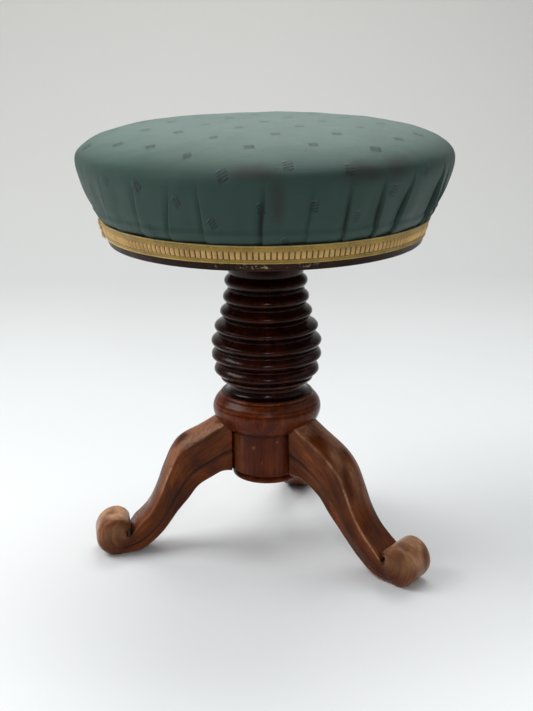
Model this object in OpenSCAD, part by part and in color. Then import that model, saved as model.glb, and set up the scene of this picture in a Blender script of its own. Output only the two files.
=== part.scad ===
// Revolving piano stool: a round stuffed seat on an iron screw, in a turned
// wooden pedestal with three scroll legs. Millimetres, +Z up, floor at z = 0,
// screw axis on the Z axis. The seat is drawn fully down.

/* [Seat] */
// Widest diameter of the covered seat
seat_d = 379; // [350:1:400]
// Height of the crown above the seat board
crown_h = 97.5; // [85:0.5:110]
// Thickness of the seat board
board_t = 24.7; // [22:0.1:30]
// Height of the polished rim left bare under the braid
rim_h = 7.2; // [5:0.1:9]
// Width of the gimp braid
braid_w = 17.5; // [14:0.5:20]
// Number of pleats round the side of the cover
pleats = 36; // [24:4:36]
// Depth of a pleat
pleat_depth = 1.7; // [1:0.1:2]

/* [Column] */
// How far the largest ring of the beehive stands out past the collar
ring_proud = 1; // [0:0.5:4]
// Mean height of one ring
ring_h = 15.5; // [15:0.1:16.5]
// Depth of the groove between two rings
ring_groove = 6; // [4:0.5:7]
// Radius of the plain neck above the rings
neck_r = 39.5; // [37:0.5:42]
// Height of the neck, from the top ring to the top of the column
neck_h = 32.5; // [31:0.5:36]
// Height of the hollow between the lowest ring and the base
cavetto_h = 15.5; // [14:0.1:20]

/* [Base] */
// Radius of the turned base, where the legs join it
hub_r = 41.5; // [38:0.5:46]
// Height of that cylinder
hub_h = 44; // [40:0.5:50]
// Height of its underside above the floor
hub_lift = 88.5; // [84:0.5:94]
// Radius of the collar above the legs
collar_r = 57.5; // [54:0.5:60]
// Height of the collar with its steps
collar_h = 38.5; // [34:0.5:42]
// Radius of the bottom cap
cap_r = 38; // [34:0.5:41]
// Thickness of the bottom cap
cap_t = 11.2; // [9:0.1:14]

/* [Legs] */
// From the axis to the middle of the left scroll foot
left_reach = 165; // [158:1:170]
// The same for the right leg
right_reach = 173; // [166:1:178]
// The same for the back leg
back_reach = 169; // [162:1:174]
// Height of the top of a leg where it meets the base
leg_rise = 140; // [134:1:146]
// Thickness of a leg
leg_w = 39; // [34:1:42]
// Radius of the scroll foot
scroll_r = 21.5; // [19:0.5:24]
// Height of the rounding across the top face of a leg
leg_crown = 8; // [5:0.5:10]
// Direction of the left leg, seen from above
left_angle = 189.5; // [184:0.5:197]
// Direction of the right leg
right_angle = 322.5; // [317:0.5:329]
// Direction of the back leg
back_angle = 76; // [70:1:84]

/* [Screw] */
// Pitch of the screw thread
pitch = 8; // [7:0.5:10]
// Outer radius of the thread
thread_r = 12; // [11:0.5:13]
// Depth of the thread
thread_depth = 2.5; // [2:0.1:3]
// How far the seat can be screwed up
travel = 96; // [80:1:100]
// Length of the nut let into the column
nut_len = 44; // [40:1:48]
// Outer radius of the nut
nut_r = 20; // [18:0.5:22]
// Radius of the round plate that carries the seat
flange_r = 46; // [42:1:52]
// Thickness of that plate
flange_t = 4.5; // [4:0.1:6]
// Thickness of the leather washer
washer_t = 2.5; // [2:0.1:3]

/* [Hidden] */
$fn = 96;

// Clearances, and one overrun for every cut
fit = 0.05;
thread_gap = 0.35;
stop_gap = 0.3;
overrun = 1;

// Joints of the base, the column and the bottom cap
tenon_r = 20;
tenon_len = 40;
tail_neck = 12;
tail_back = 19;
tail_depth = 14;
tail_h = 38;
tail_root = 4;
cap_screw_ring = 15;
cap_screw_len = 24;
cap_screw_angle = 15;
base_edge = 0.5;

// Bore of the column and the nut's flange
bore_r = 18;
bore_floor = 1;
nut_flange_r = 30;
nut_flange_t = 4;
nut_screw_ring = 25;
nut_screw_len = 22;
nut_screw_angle = 30;

// Plain end of the screw and what holds it
shank_r = 9;
boss_r = 19;
boss_h = 17;
boss_roof = 1;
pin_r = 2.5;
flange_screw_ring = 34;
flange_screw_len = 20;
flange_screw_angle = 45;
flange_let_in = 2.4;
stop_washer_r = 15.5;
stop_washer_t = 3;
stop_bolt_r = 4;
stop_bolt_len = 22;
stop_head_r = 8;
stop_head_h = 5;

// Wood screws
wood_screw_r = 2.2;
wood_head_r = 4.6;
wood_head_h = 2.8;

// Seat edge: how far the stuffing swells past the board, the rim and the cloth layers
seat_swell = 30.5;
rim_edge = 2.5;
rim_flare = 1.5;
rebate = 4.8;
rebate_flare = 5;
cover_t = 1.8;
calico_t = 0.8;
cloth_gap = 0.3;
braid_t = 1.6;
braid_bead = 0.9;
tack_count = 24;
tack_r = 0.9;
tack_head_r = 2.6;
tack_head_t = 0.6;
tack_len = 9;
braid_gap = tack_head_t + 2 * fit;

// Leg sections: scroll hollow, rounding of the lower edges, side step
hollow_r = 6;
hollow_shares = [-0.625, 0.25];
leg_edge = 4;
leg_step = 1.6;
leg_taper = 4.5;
foot_flat = 0.4;
step_share = 0.56;

// Each rib of a leg, as shares: top r and z, underside r and z,
// half width, crown, edge rounding and side taper
rib_shares = [
    [0.204, 1.080, 0.204, 0.629, 1.00, 0.5, 1.0, 0.2],
    [0.365, 0.957, 0.322, 0.613, 1.00, 0.8, 1.0, 0.7],
    [0.512, 0.846, 0.440, 0.518, 1.02, 1.0, 1.0, 1.0],
    [0.596, 0.742, 0.519, 0.397, 1.00, 1.0, 1.0, 1.0],
    [0.654, 0.605, 0.583, 0.305, 0.96, 0.9, 1.0, 1.0],
    [0.705, 0.466, 0.635, 0.228, 0.93, 0.7, 1.0, 1.0],
    [0.769, 0.346, 0.701, 0.145, 0.93, 0.4, 1.1, 0.9],
    [0.834, 0.265, 0.790, 0.059, 0.96, 0.2, 1.3, 0.7],
    [0.869, 0.225, 0.861, 0.018, 1.00, 0.1, 1.6, 0.5]];
roll_shares = [1.14, 0.0, 2.3, 0.0];
tip_shares = [0.95, 0.1, 1.0, 0.0];
hollow_angles = [215, 390];
roll_angles = [-105, 135];
rib_steps = 3;
roll_steps = 14;

// Outline of the stuffed cover. Up its side: shares of the swell past the board, of the
// height from the bare rim to the crown, and of the pleat depth
side_shares = [[0.14, 0.185, 1.0], [0.45, 0.250, 1.0], [0.79, 0.420, 0.8], [1.00, 0.643, 0.3]];
// Over its top: shares of the seat radius and of the same height
dome_shares = [[0.986, 0.735], [0.945, 0.806], [0.845, 0.890], [0.550, 0.968]];
inner_rows = [0, 1, 2, 4, 7, 10];

// Levels, from the floor up
base_top = hub_lift + hub_h + collar_h;
ring_r_shares = [0.952, 1, 1, 0.938, 0.831, 0.776, 0.749];
ring_h_shares = [1.02, 0.91, 1.005, 1.02, 1.0, 0.98, 1.175];
rings_z = base_top + cavetto_h;
beehive_r = collar_r + ring_proud;
column_top = rings_z + ring_h * total(ring_h_shares) + neck_h;
washer_top = column_top + washer_t;
flange_top = washer_top + flange_t;
board_z = flange_top - flange_let_in;
board_top = board_z + board_t;
crown_top = board_top + crown_h;
nut_z = column_top - nut_len - nut_flange_t;
stop_z = nut_z - stop_gap - travel;

function total(list, i = 0) = i < len(list) ? list[i] + total(list, i + 1) : 0;
function unit(v) = v / norm(v);
function mix(a, b, t) = a + (b - a) * t;
function arc(c, size, from, to, n) =
    [for (i = [0 : n]) let (a = mix(from, to, i / n))
        [c[0] + size[0] * cos(a), c[1] + size[1] * sin(a)]];
function curve_point(a, b, c, d, t) =
    0.5 * (2 * b + (c - a) * t + (2 * a - 5 * b + 4 * c - d) * t * t
        + (3 * b - a - 3 * c + d) * t * t * t);
function curve(p, n) = [for (i = [0 : len(p) - 2]) for (k = [0 : n - 1])
    curve_point(p[max(i - 1, 0)], p[i], p[i + 1], p[min(i + 2, len(p) - 1)], k / n)];

function middle(ring) = total_point(ring) / len(ring);
function total_point(ring, i = 0) =
    i == len(ring) - 1 ? ring[i] : ring[i] + total_point(ring, i + 1);

// Triangles between rings of points of equal count, closed by a fan at each end
module loft(rings) {
    n = len(rings[0]);
    m = len(rings);
    points = concat([for (r = rings) for (p = r) p], [middle(rings[0]), middle(rings[m - 1])]);
    sides = [for (j = [0 : m - 2]) for (i = [0 : n - 1]) let (k = (i + 1) % n)
        for (f = [[j * n + i, (j + 1) * n + i, j * n + k],
            [j * n + k, (j + 1) * n + i, (j + 1) * n + k]]) f];
    low = [for (i = [0 : n - 1]) [m * n, i, (i + 1) % n]];
    high = [for (i = [0 : n - 1]) [m * n + 1, (m - 1) * n + (i + 1) % n, (m - 1) * n + i]];
    polyhedron(points, concat(sides, low, high));
}

// Wood screw with its countersunk head at the origin and its shank upward
module wood_screw(len, gap = 0) {
    rotate_extrude()
        polygon([[0, 0], [wood_head_r + gap, 0], [wood_screw_r + gap, wood_head_h],
            [wood_screw_r + gap, len - wood_screw_r], [0, len + gap]]);
}

module round_screws(count, ring, z, len, turn = 0, gap = 0, down = false) {
    for (i = [0 : count - 1])
        rotate([0, 0, turn + i * 360 / count])
            translate([ring, 0, z])
                mirror([0, 0, down ? 1 : 0])
                    wood_screw(len, gap);
}

// Turned base

collar_low = 0.56;
function collar_under(gap = 0) =
    [for (p = arc([hub_r, hub_lift + hub_h + collar_h * collar_low],
        [collar_r - hub_r, collar_h * collar_low], -90, 0, 8)) p + [gap, -gap]];
function base_steps() = let (z = base_top, r = collar_r, h = collar_h) [
    [r * 0.883, z - h * 0.085], [r * 0.872, z - h * 0.05], [r * 0.860, z - h * 0.045],
    [r * 0.855, z - h * 0.075], [r * 0.845, z - h * 0.035], [r * 0.775, z - h * 0.03],
    [r * 0.765, z - h * 0.05], [r * 0.758, z], [r * 0.735, z]];

module tail(gap) {
    half_neck = tail_neck / 2 + gap;
    half_back = tail_back / 2 + gap;
    polygon([[hub_r - tail_depth - gap, -half_back], [hub_r, -half_neck],
        [hub_r + tail_root, -half_neck], [hub_r + tail_root, half_neck],
        [hub_r, half_neck], [hub_r - tail_depth - gap, half_back]]);
}

module turned_base() {
    color("#5a2a18") difference() {
        rotate_extrude() polygon(concat(
            [[0, hub_lift], [hub_r - base_edge, hub_lift], [hub_r, hub_lift + base_edge]],
            collar_under(),
            arc([collar_r * 0.84, hub_lift + hub_h + collar_h * collar_low],
                [collar_r * 0.16, collar_h * 0.38], 8, 68, 8),
            base_steps(), [[0, base_top]]));
        translate([0, 0, base_top - tenon_len - fit])
            cylinder(h = tenon_len + fit + overrun, r = tenon_r + fit);
        for (a = [left_angle, right_angle, back_angle])
            rotate([0, 0, a]) translate([0, 0, hub_lift - overrun])
                linear_extrude(tail_h + overrun + fit) tail(fit);
        cap_screws(fit);
    }
}

// Beehive column

function ring_outline(i, z) = let (r = beehive_r * ring_r_shares[i],
        h = ring_h * ring_h_shares[i], g = ring_groove, low = h * 0.2)
    concat([[r - g, z], [r - g * 0.45, z + low * 0.35], [r - g * 0.4, z + low * 0.8],
        [r - g * 0.62, z + low]],
        arc([r - g * 0.8, z + low + (h - low) / 2], [g * 0.8, (h - low) / 2], -70, 80, 9));
function rings_outline(i = 0, z = rings_z) = i >= len(ring_r_shares) ? [] :
    concat(ring_outline(i, z), rings_outline(i + 1, z + ring_h * ring_h_shares[i]));

module beehive_column() {
    foot_r = collar_r * 0.735;
    hollow = [collar_r * 0.1, cavetto_h * 0.4];
    neck_z = column_top - neck_h;
    color("#3a1a12") difference() {
        rotate_extrude() polygon(concat(
            [[0, base_top - tenon_len], [tenon_r, base_top - tenon_len], [tenon_r, base_top],
                [foot_r, base_top]],
            arc([foot_r, base_top + cavetto_h * 0.45], hollow, -90, -250, 8),
            [[beehive_r * 0.83, rings_z - cavetto_h * 0.1]],
            rings_outline(),
            [[neck_r - ring_groove / 2, neck_z], [neck_r, neck_z + neck_h * 0.08],
                [neck_r, neck_z + neck_h * 0.7], [neck_r + ring_groove / 2, neck_z + neck_h * 0.82],
                [neck_r + ring_groove / 2, column_top], [0, column_top]]));
        translate([0, 0, base_top + bore_floor])
            cylinder(h = column_top, r = bore_r);
        translate([0, 0, nut_z])
            cylinder(h = column_top, r = nut_r + fit);
        translate([0, 0, column_top - nut_flange_t])
            cylinder(h = nut_flange_t + overrun, r = nut_flange_r + fit);
        flange_nut_screws(fit);
    }
}

module base_cap() {
    z = hub_lift - cap_t;
    color("#4a2a1c") difference() {
        rotate_extrude() polygon(concat(
            [[0, z], [cap_r * 0.88, z]],
            arc([cap_r * 0.88, z + cap_t * 0.32], [cap_r * 0.1, cap_t * 0.32], -80, 80, 6),
            [[cap_r * 0.945, z + cap_t * 0.68], [cap_r * 0.945, z + cap_t * 0.74]],
            arc([cap_r * 0.96, z + cap_t * 0.87], [cap_r * 0.04, cap_t * 0.12], -80, 80, 5),
            [[cap_r * 0.95, hub_lift], [0, hub_lift]]));
        cap_screws(fit);
    }
}

module cap_screws(gap = 0) {
    round_screws(3, cap_screw_ring, hub_lift - cap_t, cap_screw_len, cap_screw_angle, gap);
}

module base_cap_screws() { color("#8c7a50") cap_screws(); }

// Legs

function rib_sizes(s, reach) = [s[0] * reach, s[1] * leg_rise, s[2] * reach, s[3] * leg_rise,
    s[4] * leg_w / 2, s[5] * leg_crown, s[6] * leg_edge, s[7]];
function roll_rib(t, reach) = let (a = mix(hollow_angles[0], hollow_angles[1], t),
        b = mix(roll_angles[0], roll_angles[1], t),
        middle = [reach, scroll_r - foot_flat],
        top = middle + scroll_r * hollow_shares + hollow_r * [cos(a), sin(a)],
        out = middle + scroll_r * [cos(b), sin(b)],
        s = t < 0.3 ? mix([for (k = [4 : 7]) rib_shares[8][k]], roll_shares, t / 0.3)
            : t > 0.8 ? mix(roll_shares, tip_shares, (t - 0.8) / 0.2) : roll_shares)
    [top[0], top[1], out[0], out[1], s[0] * leg_w / 2, s[1] * leg_crown, s[2] * leg_edge, s[3]];
function leg_ribs(reach) = concat(
    curve(concat([for (s = rib_shares) rib_sizes(s, reach)], [roll_rib(0, reach)]), rib_steps),
    [for (k = [0 : roll_steps - 1]) roll_rib(k / (roll_steps - 1), reach)]);

// Half outline of a section: distance out from the middle, and down from the top
function half_section(w, crown, edge, taper, deep) =
    let (e = min(edge, deep * 0.3), st = leg_step * taper, tp = leg_taper * taper,
        mid = deep * step_share)
    [[w * 0.4, -crown * 0.84], [w * 0.75, -crown * 0.44], [w, 0], [w, mid], [w - st, mid + leg_step * 0.8],
        [w - tp, deep - e], [w - tp - e * 0.3, deep - e * 0.3], [w - tp - e, deep]];
function leg_section(rib) =
    let (top = [rib[0], rib[1]], out = [rib[2], rib[3]], deep = norm(out - top),
        down = unit(out - top), h = half_section(rib[4], rib[5], rib[6], rib[7], deep),
        n = len(h),
        flat = concat([[0, -rib[5]]], h, [[0, deep + rib[6] * 0.12]],
            [for (i = [n - 1 : -1 : 0]) [-h[i][0], h[i][1]]]))
    [for (p = flat) let (q = top + down * p[1]) [q[0], -p[0], q[1]]];

module leg(angle, reach) {
    rotate([0, 0, angle]) {
        difference() {
            loft([for (r = leg_ribs(reach)) leg_section(r)]);
            rotate_extrude() polygon(concat(
                [[0, hub_lift - scroll_r], [hub_r + fit, hub_lift - scroll_r]],
                collar_under(fit), [[0, base_top]]));
            translate([0, -leg_w, -scroll_r])
                cube([reach * 2, leg_w * 2, scroll_r]);
        }
        translate([0, 0, hub_lift]) linear_extrude(tail_h) tail(0);
    }
}

module left_leg() { color("#6b3a20") leg(left_angle, left_reach); }
module right_leg() { color("#6b3a20") leg(right_angle, right_reach); }
module back_leg() { color("#6b3a20") leg(back_angle, back_reach); }

// Screw and nut

root_r = thread_r - thread_depth;
thread_steps = 20;
crest_share = 0.3;
root_share = 0.3;

// Rod with a right-hand thread, from below z0 to above z1, before it is cut flat
module thread_rod(z0, z1, gap = 0) {
    n = thread_steps;
    turns = ceil((z1 - z0) / pitch) + 2;
    flank = (1 - crest_share - root_share) / 2;
    crest_w = pitch * crest_share + 2 * gap * 0.4;
    foot_w = pitch * (crest_share + 2 * flank) + 2 * gap * 0.4;
    section = [[root_r + gap, -foot_w / 2], [thread_r + gap, -crest_w / 2],
        [thread_r + gap, crest_w / 2], [root_r + gap, foot_w / 2]];
    count = turns * n;
    first = z0 - pitch * (z0 / pitch - floor(z0 / pitch)) - pitch;
    points = concat(
        [for (k = [0 : count]) let (a = 360 * k / n) for (s = section)
            [s[0] * cos(a), s[0] * sin(a), first + pitch * k / n + s[1]]],
        [[0, 0, first - foot_w / 2], [0, 0, first + turns * pitch + foot_w / 2]]);
    base = 4 * (count + 1);
    ribs = [for (k = [0 : count - 1]) for (j = [0 : 2]) let (a = 4 * k + j)
        for (f = [[a, a + 1, a + 4], [a + 1, a + 5, a + 4]]) f];
    roots = [for (k = [0 : count - n - 1]) let (a = 4 * k + 3, b = 4 * (k + n))
        for (f = [[a, b, a + 4], [b, b + 4, a + 4]]) f];
    low = [for (k = [0 : n - 1]) [base, 4 * k, 4 * k + 4]];
    low_step = [[base, 4 * n, 3], [base, 3, 2], [base, 2, 1], [base, 1, 0]];
    last = 4 * (count - n);
    high = [for (k = [0 : n - 1]) [base + 1, last + 4 * k + 7, last + 4 * k + 3]];
    top = 4 * count;
    high_step = [[base + 1, last + 3, top], [base + 1, top, top + 1],
        [base + 1, top + 1, top + 2], [base + 1, top + 2, top + 3]];
    polyhedron(points, concat(ribs, roots, low, low_step, high, high_step));
}

module column_nut() {
    color("#6d675e") difference() {
        rotate_extrude() polygon([[0, nut_z], [nut_r, nut_z],
            [nut_r, column_top - nut_flange_t], [nut_flange_r, column_top - nut_flange_t],
            [nut_flange_r, column_top], [0, column_top]]);
        thread_rod(nut_z, column_top, thread_gap);
        flange_nut_screws(fit);
    }
}

module flange_nut_screws(gap = 0) {
    round_screws(3, nut_screw_ring, column_top, nut_screw_len, nut_screw_angle, gap, true);
}

module nut_screws() { color("#8a8378") flange_nut_screws(); }

module leather_washer() {
    color("#7a4a28") translate([0, 0, column_top]) difference() {
        cylinder(h = washer_t, r = nut_flange_r);
        translate([0, 0, -overrun])
            cylinder(h = washer_t + 2 * overrun, r = thread_r + thread_gap * 2);
    }
}

module pin_hole(gap) {
    translate([-boss_r - gap, 0, flange_top + boss_h / 2]) rotate([0, 90, 0])
        cylinder(h = 2 * (boss_r + gap), r = pin_r + gap);
}

module seat_screw() {
    color("#5c5650") difference() {
        union() {
            intersection() {
                thread_rod(stop_z, washer_top, 0);
                translate([0, 0, stop_z]) cylinder(h = washer_top - stop_z, r = thread_r * 2);
            }
            translate([0, 0, washer_top]) cylinder(h = flange_t + boss_h, r = shank_r);
        }
        translate([0, 0, stop_z - overrun])
            cylinder(h = stop_bolt_len + overrun + fit, r = stop_bolt_r + fit);
        pin_hole(fit);
    }
}

module seat_flange() {
    color("#4e4a46") difference() {
        rotate_extrude() polygon(concat([[0, washer_top], [flange_r, washer_top],
            [flange_r, flange_top]], arc([boss_r + flange_t, flange_top + flange_t],
            [flange_t, flange_t], -90, -180, 5),
            [[boss_r, flange_top + boss_h], [0, flange_top + boss_h]]));
        translate([0, 0, washer_top - overrun])
            cylinder(h = flange_t + boss_h + 2 * overrun, r = shank_r + fit);
        pin_hole(fit);
        plate_screws(fit);
    }
}

module flange_pin() { color("#9a958c") pin_hole(0); }

module plate_screws(gap = 0) {
    round_screws(4, flange_screw_ring, washer_top, flange_screw_len, flange_screw_angle, gap);
}

module flange_screws() { color("#8a8378") plate_screws(); }

module stop_washer() {
    color("#6d675e") translate([0, 0, stop_z - stop_washer_t]) difference() {
        cylinder(h = stop_washer_t, r = stop_washer_r);
        translate([0, 0, -overrun])
            cylinder(h = stop_washer_t + 2 * overrun, r = stop_bolt_r + fit);
    }
}

module stop_bolt() {
    color("#8a8378") {
        translate([0, 0, stop_z - stop_washer_t - stop_head_h])
            cylinder(h = stop_head_h, r = stop_head_r, $fn = 6);
        translate([0, 0, stop_z - stop_washer_t])
            cylinder(h = stop_washer_t + stop_bolt_len, r = stop_bolt_r);
    }
}

// Seat: board, stuffing, covers and braid

seat_r = seat_d / 2;
rim_r = seat_r - seat_swell;
rebate_r = rim_r + rim_flare - rebate;

module seat_board() {
    color("#2f1710") difference() {
        rotate_extrude() polygon(concat([[0, board_z]],
            arc([rim_r - rim_edge, board_z + rim_edge], [rim_edge, rim_edge], -90, 0, 5),
            [[rim_r + rim_flare, board_z + rim_h], [rebate_r, board_z + rim_h],
                [rebate_r + rebate_flare, board_top], [0, board_top]]));
        translate([0, 0, board_z - overrun])
            cylinder(h = flange_let_in + overrun, r = flange_r + fit);
        translate([0, 0, board_z])
            cylinder(h = flange_top - board_z + boss_h + boss_roof, r = boss_r + flange_t);
        plate_screws(fit);
    }
}

// Outline of the cover: radius, height and pleat depth
hem_z = board_z + rim_h;
layers = calico_t + cloth_gap + cover_t;
hem_r = rebate_r + cloth_gap + layers;
edge_r = hem_r + rebate_flare;
cover_line = concat(
    [[hem_r, hem_z, 0], [edge_r, board_top, 0]],
    [for (s = side_shares) [mix(edge_r, seat_r, s[0]), mix(hem_z, crown_top, s[1]),
        s[2] * pleat_depth]],
    [for (s = dome_shares) [seat_r * s[0], mix(hem_z, crown_top, s[1]), 0]],
    [[0, crown_top, 0]]);

// The outline drawn in by a depth, square to itself
function drawn_in(deep) = [for (i = [0 : len(cover_line) - 1]) let (p = cover_line[i],
        a = cover_line[max(i - 1, 0)], b = cover_line[min(i + 1, len(cover_line) - 1)],
        t = unit([b[0] - a[0], b[1] - a[1]]), d = deep + (deep > 0 ? p[2] : 0))
    i == 0 ? [p[0] - d, p[1]] : p[0] == 0 ? [0, p[1] - d] : [p[0] - t[1] * d, p[1] + t[0] * d]];
module filled(deep) {
    line = drawn_in(deep);
    rotate_extrude() polygon(concat([[0, hem_z]], [for (i = inner_rows) line[i]]));
}

module horsehair_pad() {
    color("#7c6a50") intersection() {
        filled(layers);
        translate([0, 0, board_top]) cylinder(h = crown_h, r = seat_d);
    }
}

module calico_cover() {
    color("#cfc4a8") difference() {
        filled(cover_t + cloth_gap);
        filled(layers);
    }
}

module seat_cover() {
    function ring(p, deep) = [for (i = [0 : 2 * pleats - 1]) let (a = 180 * i / pleats,
            r = max(p[0], overrun) - (i % 2 == 0 ? deep : 0))
        [r * cos(a), r * sin(a), p[1]]];
    inside = drawn_in(cover_t);
    deepest = len(inner_rows) - 1;
    color("#2f5751") loft(concat(
        [for (i = [deepest : -1 : 0]) ring(inside[inner_rows[i]], 0)],
        [for (p = cover_line) ring(p, p[2])]));
}

module gimp_braid() {
    low = hem_r + braid_gap;
    lean = rebate_flare * braid_w / (board_t - rim_h);
    function at(out, up) = [low + out + lean * up, hem_z + braid_w * up];
    color("#9a7a3c") rotate_extrude() polygon(concat([at(0, 0)],
        [for (i = [0 : 4]) at(braid_t + braid_bead * sin(i * 45), 0.16 * i / 4)],
        [at(braid_t * 0.8, 0.18), at(braid_t, 0.2), at(braid_t + braid_bead * 0.6, 0.5),
            at(braid_t, 0.8), at(braid_t * 0.8, 0.82)],
        [for (i = [0 : 4]) at(braid_t + braid_bead * sin(i * 45), 0.84 + 0.16 * i / 4)],
        [at(0, 1)]));
}

module cover_tacks() {
    tilt = atan(rebate_flare / (board_t - rim_h));
    color("#77706a") for (i = [0 : tack_count - 1])
        rotate([0, 0, (i + 0.5) * 360 / tack_count])
            translate([hem_r + rebate_flare / 2, 0, hem_z + (board_t - rim_h) / 2])
                rotate([0, 90 + tilt, 0]) {
                    cylinder(h = tack_head_t, r = tack_head_r);
                    translate([0, 0, -tack_len]) cylinder(h = tack_len, r = tack_r);
                }
}

turned_base();
beehive_column();
base_cap();
base_cap_screws();
left_leg();
right_leg();
back_leg();
column_nut();
nut_screws();
leather_washer();
seat_screw();
seat_flange();
flange_pin();
flange_screws();
stop_washer();
stop_bolt();
seat_board();
horsehair_pad();
calico_cover();
seat_cover();
gimp_braid();
cover_tacks();
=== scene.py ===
# Revolving piano stool: the looks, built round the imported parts.
# Metres, +Z up, floor at z = 0, screw axis on the Z axis, -Y towards the viewer.
import math
import random

import bmesh
import bpy
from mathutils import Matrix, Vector, noise


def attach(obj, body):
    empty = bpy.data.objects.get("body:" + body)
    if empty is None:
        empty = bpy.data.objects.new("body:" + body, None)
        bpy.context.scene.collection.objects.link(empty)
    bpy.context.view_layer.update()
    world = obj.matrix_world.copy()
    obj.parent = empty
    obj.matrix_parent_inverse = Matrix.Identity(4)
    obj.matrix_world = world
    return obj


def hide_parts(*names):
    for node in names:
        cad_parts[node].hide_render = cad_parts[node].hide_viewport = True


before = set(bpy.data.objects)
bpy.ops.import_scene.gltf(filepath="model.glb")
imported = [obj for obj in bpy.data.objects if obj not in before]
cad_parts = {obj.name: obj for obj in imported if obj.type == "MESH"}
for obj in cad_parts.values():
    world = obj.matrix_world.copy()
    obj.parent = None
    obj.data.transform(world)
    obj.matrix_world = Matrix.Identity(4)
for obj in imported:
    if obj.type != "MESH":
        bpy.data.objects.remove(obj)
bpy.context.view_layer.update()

scene = bpy.context.scene
mm = 0.001
print("parts loaded:", len(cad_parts))


# Colours are written as they look on screen, 0 to 255
def paint(red, green, blue):
    def linear(value):
        value /= 255
        return value / 12.92 if value <= 0.04045 else ((value + 0.055) / 1.055) ** 2.4
    return (linear(red), linear(green), linear(blue), 1)


def smooth(low, high, value):
    share = min(1, max(0, (value - low) / (high - low)))
    return share * share * (3 - 2 * share)


def mix(first, second, share):
    return first + (second - first) * share


# Value between b and c on a smooth line through four
def between(a, b, c, d, t):
    bend, twist = 2 * a - 5 * b + 4 * c - d, 3 * b - a - 3 * c + d
    return 0.5 * (2 * b + (c - a) * t + bend * t * t + twist * t ** 3)


# Points along a smooth line through the given ones
def curveThrough(points, steps):
    out = []
    last = len(points) - 1
    for i in range(last):
        near = points[max(i - 1, 0)], points[i], points[i + 1], points[min(i + 2, last)]
        for k in range(steps):
            out.append([between(*values, k / steps) for values in zip(*near)])
    out.append(list(points[-1]))
    return out


# Even directions in degrees round the screw axis, from 0 on the viewer's side
def directions(count):
    return [360 * i / count for i in range(count)]


def ringPoint(radius, direction, height):
    turn = math.radians(direction)
    return Vector((radius * math.sin(turn), -radius * math.cos(turn), height))


# Outward and sideways at a point beside the screw axis
def outAndSide(point):
    outward = Vector((point.x, point.y, 0)).normalized()
    return outward, Vector((-outward.y, outward.x, 0))


def addObject(name, data):
    made = bpy.data.objects.new(name, data)
    scene.collection.objects.link(made)
    return made


# A mesh from rings of equally many points; attributes come as one value for each point
def loftMesh(name, rings, looped=False, marks=None, bands=None):
    mesh = bpy.data.meshes.new(name)
    count = len(rings[0])
    points = [p for ring in rings for p in ring]
    faces = []
    pairs = len(rings) if looped else len(rings) - 1
    for j in range(pairs):
        low, high = j * count, (j + 1) % len(rings) * count
        for i in range(count):
            k = (i + 1) % count
            faces.append((low + i, low + k, high + k, high + i))
    if not looped:
        faces.append(tuple(range(count - 1, -1, -1)))
        faces.append(tuple(range((len(rings) - 1) * count, len(rings) * count)))
    mesh.from_pydata([tuple(p) for p in points], [], faces)
    for key, values in (marks or {}).items():
        kind = "FLOAT" if isinstance(values[0], (int, float)) else "FLOAT_VECTOR"
        made = mesh.attributes.new(key, kind, "POINT")
        if kind == "FLOAT":
            made.data.foreach_set("value", values)
        else:
            made.data.foreach_set("vector", [c for v in values for c in v])
    if bands:
        for j in range(pairs):
            for i in range(count):
                mesh.polygons[j * count + i].material_index = bands[j]
    work = bmesh.new()
    work.from_mesh(mesh)
    bmesh.ops.recalc_face_normals(work, faces=work.faces)
    work.to_mesh(mesh)
    work.free()
    mesh.shade_smooth()
    return addObject(name, mesh)


def finishPiece(piece, body, materials, replaced=()):
    for material in materials:
        piece.data.materials.append(material)
    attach(piece, body)
    if replaced:
        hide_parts(*replaced)


# Links the inputs that come from other nodes, and sets even values on their own sockets
def setInputs(tree, shader, inputs):
    for key, value in inputs.items():
        if isinstance(value, bpy.types.NodeSocket):
            tree.links.new(value, shader.inputs[key])
        else:
            shader.inputs[key].default_value = value


# A shader node with its settings and inputs in one line
def node(tree, kind, inputs=None, **settings):
    made = tree.nodes.new("ShaderNode" + kind)
    for key, value in settings.items():
        setattr(made, key, value)
    setInputs(tree, made, inputs or {})
    return made


def newMaterial(name):
    material = bpy.data.materials.new(name)
    material.use_nodes = True
    tree = material.node_tree
    return material, tree, tree.nodes["Principled BSDF"]


def maths(tree, operation, first, second=0.0, third=0.0):
    return node(tree, "Math", {0: first, 1: second, 2: third}, operation=operation).outputs[0]


def times(tree, first, second):
    return maths(tree, "MULTIPLY", first, second)


def colourMix(tree, share, first, second, blend="MIX"):
    return node(tree, "Mix", {"Factor": share, 6: first, 7: second},
                data_type="RGBA", blend_type=blend).outputs[2]


def ramp(tree, value, stops):
    made = node(tree, "ValToRGB", {"Fac": value})
    elements = made.color_ramp.elements
    while len(elements) < len(stops):
        elements.new(0.5)
    for element, (place, colour) in zip(elements, stops):
        element.position = place
        element.color = paint(*colour)
    return made.outputs["Color"]


def objectPlace(tree):
    return node(tree, "TexCoord").outputs["Object"]


def split(tree, vector):
    return node(tree, "SeparateXYZ", {0: vector}).outputs


# What the mesh carries on its points under a name
def mark(tree, name, output="Fac"):
    return node(tree, "Attribute", attribute_name=name).outputs[output]


def noiseTexture(tree, where, scale, detail, roughness, distortion=0.0):
    return node(tree, "TexNoise", {"Vector": where, "Scale": scale, "Detail": detail,
                                   "Roughness": roughness, "Distortion": distortion}).outputs["Fac"]


def stretched(tree, where, scale):
    return node(tree, "Mapping", {"Vector": where, "Scale": scale}).outputs[0]


def remap(tree, value, fromLow, fromHigh, toLow, toHigh):
    return node(tree, "MapRange", {"Value": value, 1: fromLow, 2: fromHigh,
                                   3: toLow, 4: toHigh}).outputs[0]


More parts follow.
